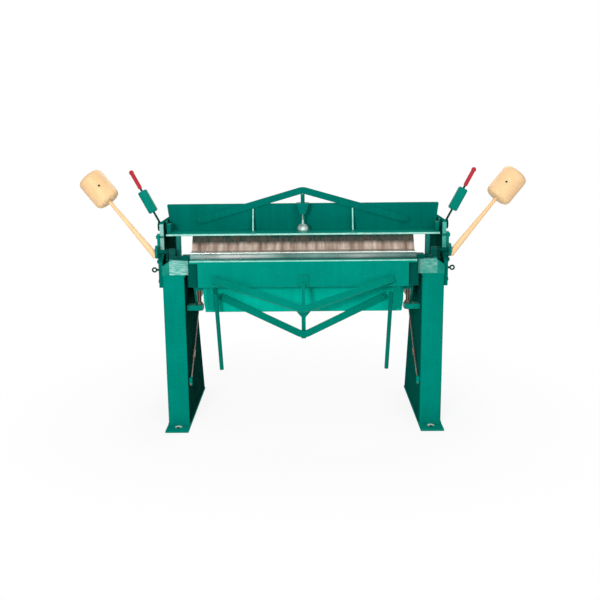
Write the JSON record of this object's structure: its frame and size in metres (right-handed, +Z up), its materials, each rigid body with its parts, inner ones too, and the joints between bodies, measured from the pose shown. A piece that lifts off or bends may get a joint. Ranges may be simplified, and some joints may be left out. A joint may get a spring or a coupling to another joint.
{
  "type": "box and pan brake",
  "caption": "Floor-standing sheet metal folder with removable fingers, a lifting clamp leaf on cam levers and a counterweighted bending leaf.",
  "frame": {"origin": "on the floor, at the centre of the four anchor holes", "axes": "+X across the machine to the right of someone who faces it, +Y to the back, +Z up"},
  "size_m": [2.415, 0.8491, 1.4299],
  "materials": {
    "green_paint": "gloss green enamel",
    "cast_paint": "green enamel worn on a rough casting",
    "cream_paint": "cream enamel",
    "red_grip": "red dipped vinyl",
    "finger_steel": "ground steel with an oily brown tint",
    "machined_steel": "machined steel",
    "bright_steel": "bright plated steel",
    "bare_steel": "bare steel with brown oxide",
    "dark_steel": "dark blackened steel"
  },
  "bodies": {
    "frame": {"left_foot_plate": "green_paint", "left_leg": "green_paint", "left_hinge_block": "cast_paint", "left_head_plate": "green_paint", "left_bed_end": "green_paint", "right_foot_plate": "green_paint", "right_leg": "green_paint", "right_hinge_block": "cast_paint", "right_head_plate": "green_paint", "right_bed_end": "green_paint", "head_straps": "green_paint", "frame_bolts": "dark_steel", "lifting_eyes": "dark_steel", "hinge_lock_screws": "bright_steel", "bed_top_bar": "machined_steel", "bed_front_plate": "green_paint", "bed_truss_bar": "green_paint", "bed_truss_strut": "green_paint", "bed_support_lugs": "green_paint", "bed_leveling_screws": "bare_steel", "tie_rods": "bare_steel", "turnbuckles": "bare_steel"},
    "top_leaf": {"top_leaf_plate": "green_paint", "top_leaf_web": "green_paint", "top_leaf_ribs": "green_paint", "left_lift_casting": "green_paint", "right_lift_casting": "green_paint", "top_truss_bar": "green_paint", "top_truss_strut": "green_paint", "top_truss_screw": "bright_steel", "top_truss_nut": "bright_steel", "finger_clamp_bar": "green_paint", "wide_fingers": "finger_steel", "middle_fingers": "finger_steel", "narrow_fingers": "finger_steel", "top_leaf_bolts": "dark_steel", "guide_posts": "machined_steel"},
    "bending_leaf": {"apron_plate": "green_paint", "nose_bar": "machined_steel", "left_leaf_end": "green_paint", "right_leaf_end": "green_paint", "hinge_pins": "machined_steel", "arm_hubs": "green_paint", "leaf_truss_bar": "green_paint", "leaf_truss_strut": "green_paint", "handle_brackets": "green_paint", "lifting_handles": "green_paint", "counterweight_arms": "cream_paint"},
    "left_clamp": {"left_clamp_crank": "machined_steel", "left_clamp_lever": "green_paint", "left_lever_block": "green_paint", "left_clamp_grip": "red_grip"},
    "left_weight": {"left_counterweight": "cream_paint", "left_weight_screw": "bright_steel"},
    "right_clamp": {"right_clamp_crank": "machined_steel", "right_clamp_lever": "green_paint", "right_lever_block": "green_paint", "right_clamp_grip": "red_grip"},
    "right_weight": {"right_counterweight": "cream_paint", "right_weight_screw": "bright_steel"}
  },
  "joints": [
    {"name": "top_leaf_lift", "type": "slide", "parent": "frame", "child": "top_leaf", "axis": [0, 0, 1], "range_m": [0, 0.025]},
    {"name": "leaf_swing", "type": "hinge", "parent": "frame", "child": "bending_leaf", "pos_m": [0, -0.24, 0.986], "axis": [1, 0, 0], "range_deg": [-120, 0]},
    {"name": "left_clamp_turn", "type": "hinge", "parent": "frame", "child": "left_clamp", "pos_m": [-0.778, -0.08, 1.108], "axis": [1, 0, 0], "range_deg": [-70, 0]},
    {"name": "left_weight_slide", "type": "slide", "parent": "bending_leaf", "child": "left_weight", "axis": [0.6361, -0.1219, -0.7619], "range_m": [0, 0.025]},
    {"name": "right_clamp_turn", "type": "hinge", "parent": "frame", "child": "right_clamp", "pos_m": [0.778, -0.08, 1.108], "axis": [1, 0, 0], "range_deg": [-70, 0]},
    {"name": "right_weight_slide", "type": "slide", "parent": "bending_leaf", "child": "right_weight", "axis": [-0.6361, -0.1219, -0.7619], "range_m": [0, 0.025]}
  ],
  "couplings": [
    {"joint": "left_clamp_turn", "follows": "top_leaf_lift", "rad_per_m": -48.86},
    {"joint": "right_clamp_turn", "follows": "top_leaf_lift", "rad_per_m": -48.86}
  ]
}
